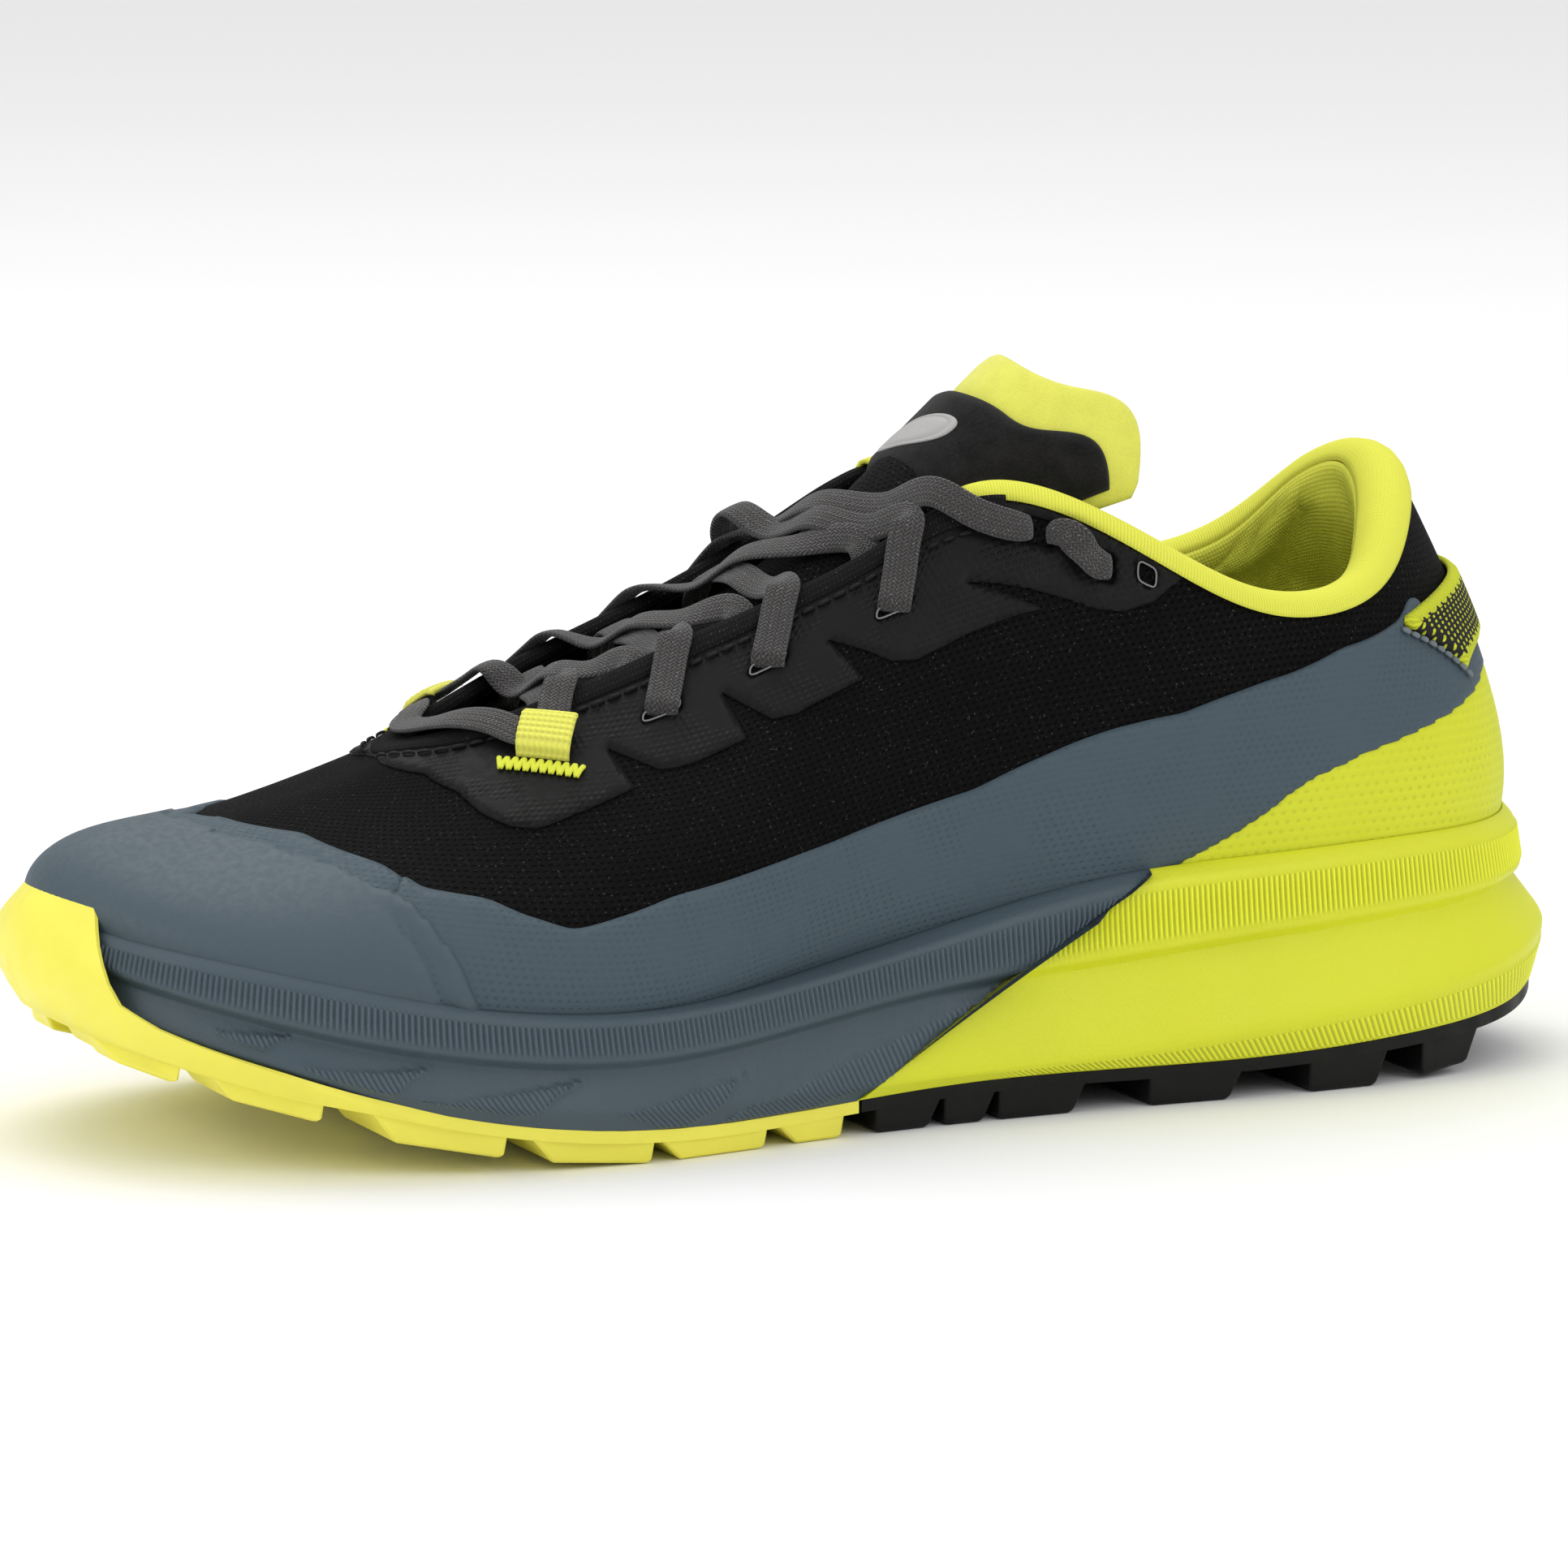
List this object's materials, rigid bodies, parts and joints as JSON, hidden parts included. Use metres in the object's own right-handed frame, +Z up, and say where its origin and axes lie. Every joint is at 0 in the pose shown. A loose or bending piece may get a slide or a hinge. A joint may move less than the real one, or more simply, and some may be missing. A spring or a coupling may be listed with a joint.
{
  "type": "running shoe",
  "caption": "Left trail running shoe with knitted upper, film overlays, padded collar, tongue, flat lace, split foam midsole and lugged rubber outsole.",
  "frame": {"origin": "middle of the footprint's bounding box, on the ground the lugs stand on", "axes": "-X to the toe, +X to the heel, -Y to the outer (lateral) side, +Y to the inner (medial) side, +Z up"},
  "size_m": [0.2942, 0.1126, 0.1282],
  "materials": {
    "yellow_rubber": "satin",
    "black_rubber": "matt",
    "grey_foam": "satin moulded foam, ribbed sides",
    "yellow_foam": "satin moulded foam, ribbed sides",
    "board": "matt non-woven board",
    "insole_foam": "matt open-cell foam",
    "insole_fabric": "brushed knit",
    "knit": "engineered mesh",
    "grey_film": "matt film over knit",
    "yellow_film": "satin film over knit",
    "black_film": "matt embossed film",
    "ribbon": "woven ribbon",
    "webbing_black": "woven tape",
    "stiffener": "matt sheet",
    "collar_foam": "open-cell foam",
    "lining": "brushed knit",
    "suede": "matt synthetic suede",
    "silver": "satin silver",
    "lace": "flat weave",
    "aglet": "gloss",
    "webbing_yellow": "woven webbing"
  },
  "bodies": {
    "shoe": {"outsole_forefoot": "yellow_rubber", "outsole_rear": "black_rubber", "midsole_front": "grey_foam", "midsole_rear": "yellow_foam", "strobel_board": "board", "upper_knit": "knit", "toe_cap": "grey_film", "side_band_lateral": "grey_film", "side_band_medial": "grey_film", "heel_overlay": "yellow_film", "heel_tab": "ribbon", "eyestay": "black_film", "eyelet_backing_lateral": "webbing_black", "eyelet_backing_medial": "webbing_black", "toe_puff": "stiffener", "heel_counter": "stiffener", "collar_foam": "collar_foam", "collar_lining": "lining", "lace": "lace", "aglet_lateral": "aglet", "aglet_medial": "aglet", "lace_loop_lateral": "webbing_yellow", "lace_loop_medial": "webbing_yellow"},
    "tongue": {"tongue_pad": "knit", "tongue_lining": "lining", "tongue_tip": "suede", "tongue_badge": "silver"},
    "insole": {"insole_foam": "insole_foam", "insole_cover": "insole_fabric"}
  },
  "joints": [
    {"name": "tongue_bend", "type": "hinge", "parent": "shoe", "child": "tongue", "pos_m": [-0.06187, -0.0012, 0.06], "axis": [0, 1, 0], "range_deg": [0, 8], "stiffness_Nm_per_rad": 0.4},
    {"name": "insole_lift", "type": "hinge", "parent": "shoe", "child": "insole", "pos_m": [-0.11187, 0.0028, 0.027], "axis": [0, -1, 0], "range_deg": [0, 3]}
  ]
}
